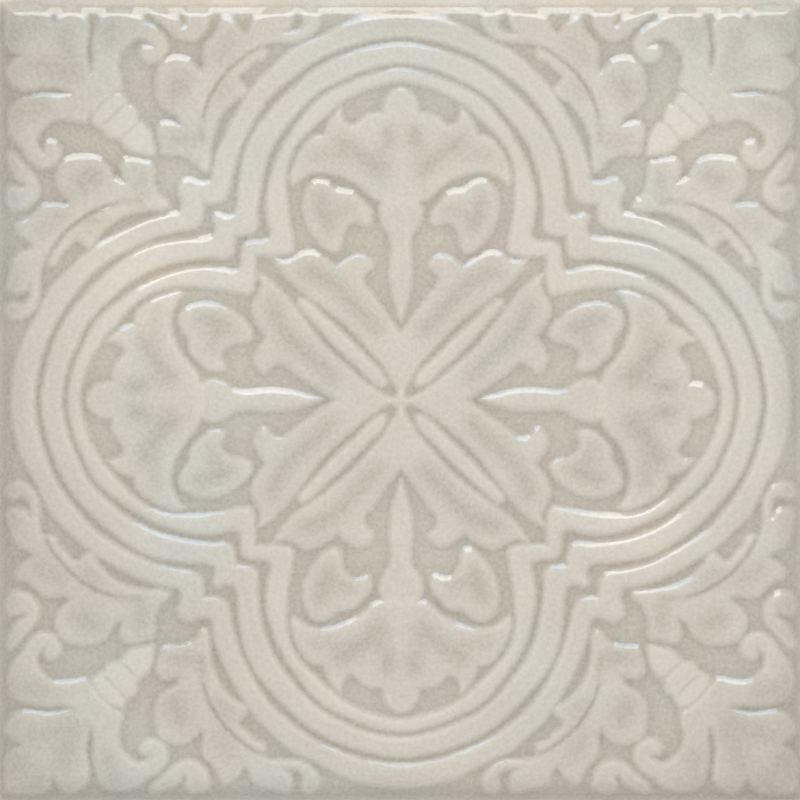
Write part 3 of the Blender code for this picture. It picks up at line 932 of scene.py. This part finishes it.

# %% [markdown]
# Tiny bubbles and grains of tin mottle the glaze, more where it is thick. The real ones are too
# fine for a camera that takes in the whole tile. They are drawn 0.8 mm wide, with detail down
# to a tenth of that, so that they show. One number for lightness adds the mottle to the painted
# paleness, which also holds painted sheen and painted light and shade on the rim.

# %% Glossy tin glaze: mottle, paleness and painted light
mottle_size = 0.8
mottle_light = 0.13
mottle_by_depth, mottle_everywhere = 0.8, 0.64
pale_light = 0.055
mottle_settings = {"Scale": per_metre / mottle_size, "Detail": 3.0, "Roughness": 0.75, "Vector": places}
mottle = add_node(tree, "ShaderNodeTexNoise", mottle_settings).outputs["Fac"]
mottle_range = {"From Min": 0.25, "From Max": 0.75, "To Min": -mottle_light, "To Max": mottle_light}
speckle = add_node(tree, "ShaderNodeMapRange", {**mottle_range, "Value": mottle}).outputs["Result"]
by_depth = {"operation": "MULTIPLY_ADD", 0: depth, 1: mottle_by_depth, 2: mottle_everywhere}
strength = add_node(tree, "ShaderNodeMath", by_depth).outputs["Value"]
paleness = add_node(tree, "ShaderNodeAttribute", {"attribute_name": "paleness"}).outputs["Fac"]
# The painted paleness brings in the painted sheen, the painted light of the upper rim and the painted shade
# of the other rims.
lightening = {"operation": "MULTIPLY_ADD", 0: paleness, 1: pale_light, 2: 1.0}
patchy = add_node(tree, "ShaderNodeMath", lightening).outputs["Value"]
adding = {"operation": "MULTIPLY_ADD", 0: speckle, 1: strength, 2: patchy}
lightness = add_node(tree, "ShaderNodeMath", adding).outputs["Value"]
scaling = {"operation": "SCALE", "Vector": tinted, "Scale": lightness}
glaze_colour = add_node(tree, "ShaderNodeVectorMath", scaling).outputs["Vector"]
tree.links.new(glaze_colour, shader.inputs["Base Color"])
strongest_mottle = mottle_light * (mottle_by_depth + mottle_everywhere)
print("The mottle lightens or darkens the thick glaze by up to", round(strongest_mottle, 2))

# %% [markdown]
# A fired glaze is glass, so it takes the index of glass and is nearly mirror smooth. A faint
# swell, as of slightly dented glass, keeps its reflections from looking ruled.

# %% Glossy tin glaze: swell and shine
swell_size = 6.0
swell_settings = {"Scale": per_metre / swell_size, "Detail": 1.0, "Vector": places}
swell = add_node(tree, "ShaderNodeTexNoise", swell_settings).outputs["Fac"]
denting = {"Strength": 0.3, "Distance": 0.0001, "Height": swell}
bump = add_node(tree, "ShaderNodeBump", denting).outputs["Normal"]
tree.links.new(bump, shader.inputs["Normal"])
shader.inputs["Roughness"].default_value = 0.1
shader.inputs["IOR"].default_value = 1.52
print("The glaze is made of", len(tree.nodes), "nodes")

# %% [markdown]
# ## The bare clay
#
# The foot of the sides and the back carry no glaze. Pressed and fired white clay is a matt,
# warm off-white, a little cloudy from the fire and finely gritty to the touch, which a small
# bump gives.

# %% Fired white clay
clay_material, tree, shader = new_material("fired_white_clay")
places = add_node(tree, "ShaderNodeTexCoord", {}).outputs["Object"]
scorch_size = 25.0
grit_size = 0.8
scorch_settings = {"Scale": per_metre / scorch_size, "Detail": 4.0, "Vector": places}
scorch = add_node(tree, "ShaderNodeTexNoise", scorch_settings).outputs["Fac"]
clay_stops = [(0.35, "C9BBA4"), (0.7, "DDD1BD")]
clay_colour = add_node(tree, "ShaderNodeValToRGB", {"stops": clay_stops, "Fac": scorch}).outputs["Color"]
tree.links.new(clay_colour, shader.inputs["Base Color"])
grit_settings = {"Scale": per_metre / grit_size, "Detail": 3.0, "Vector": places}
grit = add_node(tree, "ShaderNodeTexNoise", grit_settings).outputs["Fac"]
roughing = {"Strength": 0.4, "Distance": 0.00008, "Height": grit}
bump = add_node(tree, "ShaderNodeBump", roughing).outputs["Normal"]
tree.links.new(bump, shader.inputs["Normal"])
shader.inputs["Roughness"].default_value = 0.85
mesh.materials.append(glaze_material)
mesh.materials.append(clay_material)
glaze_ends = bead_height - bead_thickness / 2
for face in mesh.polygons:
    if not looks_up[face.index] and face.center.z < glaze_ends * MM:
        face.material_index = 1
print("Bare faces:", sum(face.material_index for face in mesh.polygons))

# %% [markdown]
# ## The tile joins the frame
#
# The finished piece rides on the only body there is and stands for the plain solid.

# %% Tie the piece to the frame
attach(tile, "root")
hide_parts("relief_tile")
print("The tile's box:", [round(side / MM, 2) for side in tile.dimensions])

# %% [markdown]
# ## Floor, light and camera
#
# The tile lies on a plain pale floor under an even pale surround. A large window beyond its
# upper edge draws the bright lines along every steep wall that leans towards it. It is made of
# two panes, the lower one warmer, with a strip of blue sky above them that gives the lines
# their blue fringe. These three give shine alone. The soft light comes from the surround, a
# slight glow of the window and a lamp overhead, so that the shading stays as soft as in the
# photograph.

# %% Floor
deselect_everything()
bpy.ops.mesh.primitive_plane_add(size=3.0, location=(0.0, 0.0, 0.0))
floor = bpy.context.active_object
floor.name = "studio_floor"
floor_material, tree, shader = new_material("pale_matt_floor")
shader.inputs["Base Color"].default_value = linear("E4E2DE")
shader.inputs["Roughness"].default_value = 0.9
floor.data.materials.append(floor_material)
print("The floor is", floor.dimensions.x, "m wide")

# %% Lights
def softbox(name, turn, lean, away, size, radiance, colour, gives):
    """A rectangular light that faces the tile: turn is its compass angle from the right, lean its
    angle from straight up, away its distance in metres, and radiance how bright it looks."""
    turn, lean = math.radians(turn), math.radians(lean)
    level_away = away * math.sin(lean)
    place = [level_away * math.cos(turn), level_away * math.sin(turn), away * math.cos(lean)]
    deselect_everything()
    bpy.ops.object.light_add(type="AREA", location=place)
    lamp = bpy.context.active_object
    lamp.name = name
    lamp.data.shape = "RECTANGLE"
    lamp.data.size, lamp.data.size_y = size
    lamp.data.energy = radiance * math.pi * size[0] * size[1]
    lamp.data.color = linear(colour)[:3]
    lamp.rotation_euler = (-lamp.location).to_track_quat("-Z", "Y").to_euler()
    lamp.visible_camera = False
    lamp.visible_diffuse = gives == "soft light"
    lamp.visible_glossy = gives == "shine"


window_turn, window_away, window_long = 94, 0.7, 0.8
softbox("low_window", window_turn, 85.0, window_away, (window_long, 0.12), 5.0, "FFF4E8", "shine")
softbox("window", window_turn, 74.5, window_away, (window_long, 0.136), 5.5, "F6F8FF", "shine")
softbox("sky_in_the_window", window_turn, 64.7, window_away, (window_long, 0.106), 4.6, "ACD8FF", "shine")
softbox("window_glow", window_turn, 84.0, window_away, (window_long, 0.12), 0.9, "FFF6F2", "soft light")
softbox("near_overhead", 84, 12.0, 0.29, (0.2, 0.2), 2.0, "FFFFFF", "soft light")
world = bpy.data.worlds.new("even_surround")
world.use_nodes = True
surround = world.node_tree.nodes["Background"]
surround.inputs["Color"].default_value = linear("FFFFFF")
surround.inputs["Strength"].default_value = 0.728
scene.world = world
scene.view_settings.view_transform = "Standard"

# %% [markdown]
# The photograph looks straight down, and the tile fills it to the edges. A camera far above with
# a long lens shows no side of the tile. Its picture is a hair narrower than the tile, measured
# at the level of the highest leaves.

# %% Camera
camera_height = 4.0
cut_off = 0.05
top_of_leaves = 1.5
sensor_width = 36.0
framed_side = 2 * half_side - 2 * cut_off
framed_level = ground_height + top_of_leaves
deselect_everything()
bpy.ops.object.camera_add(location=(0.0, 0.0, camera_height + framed_level * MM))
camera = bpy.context.active_object
camera.name = "straight_down_camera"
camera.data.sensor_width = sensor_width
camera.data.lens = sensor_width * camera_height / (framed_side * MM)
camera.data.clip_end = 10.0
scene.camera = camera
print("Lens:", round(camera.data.lens, 1), "mm")
